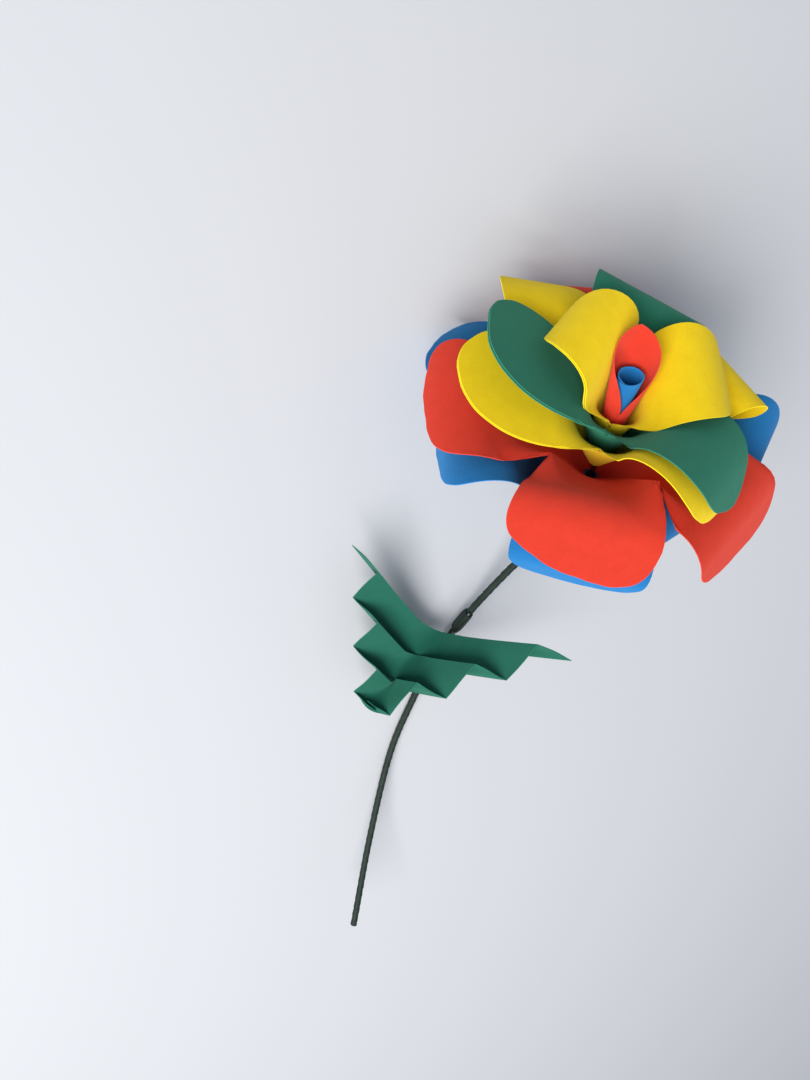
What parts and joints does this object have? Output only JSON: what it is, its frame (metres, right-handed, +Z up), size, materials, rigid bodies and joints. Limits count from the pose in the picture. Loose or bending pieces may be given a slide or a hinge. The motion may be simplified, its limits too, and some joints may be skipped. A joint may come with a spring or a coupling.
{
  "type": "paper flower",
  "caption": "Twirled paper rose of nested curled petal cones in four colours on a taped wire stem with one pleated paper leaf, lying at rest.",
  "frame": {"origin": "on the surface the flower lies on, under the centre of the whole flower's box", "axes": "+Z up from that surface; the stem's cut end points along -X and the flower head lies on the +X side"},
  "size_m": [0.3004, 0.1152, 0.1037],
  "materials": {
    "blue_paper": "matte dyed paper",
    "red_paper": "matte dyed paper",
    "yellow_paper": "matte dyed paper",
    "green_paper": "matte dyed paper",
    "leaf_paper": "matte dyed paper",
    "wire": "drawn wire, dull",
    "floral_tape": "waxed crepe tape"
  },
  "bodies": {
    "root": {"blue_outer_petals": "blue_paper", "red_petals": "red_paper", "yellow_petals": "yellow_paper", "green_petals": "green_paper", "yellow_inner_petals": "yellow_paper", "red_bud_roll": "red_paper", "blue_centre_roll": "blue_paper", "stem_wire": "wire", "stem_tape": "floral_tape", "leaf_wire": "wire", "joint_tape": "floral_tape", "pleated_leaf": "leaf_paper"}
  },
  "joints": []
}
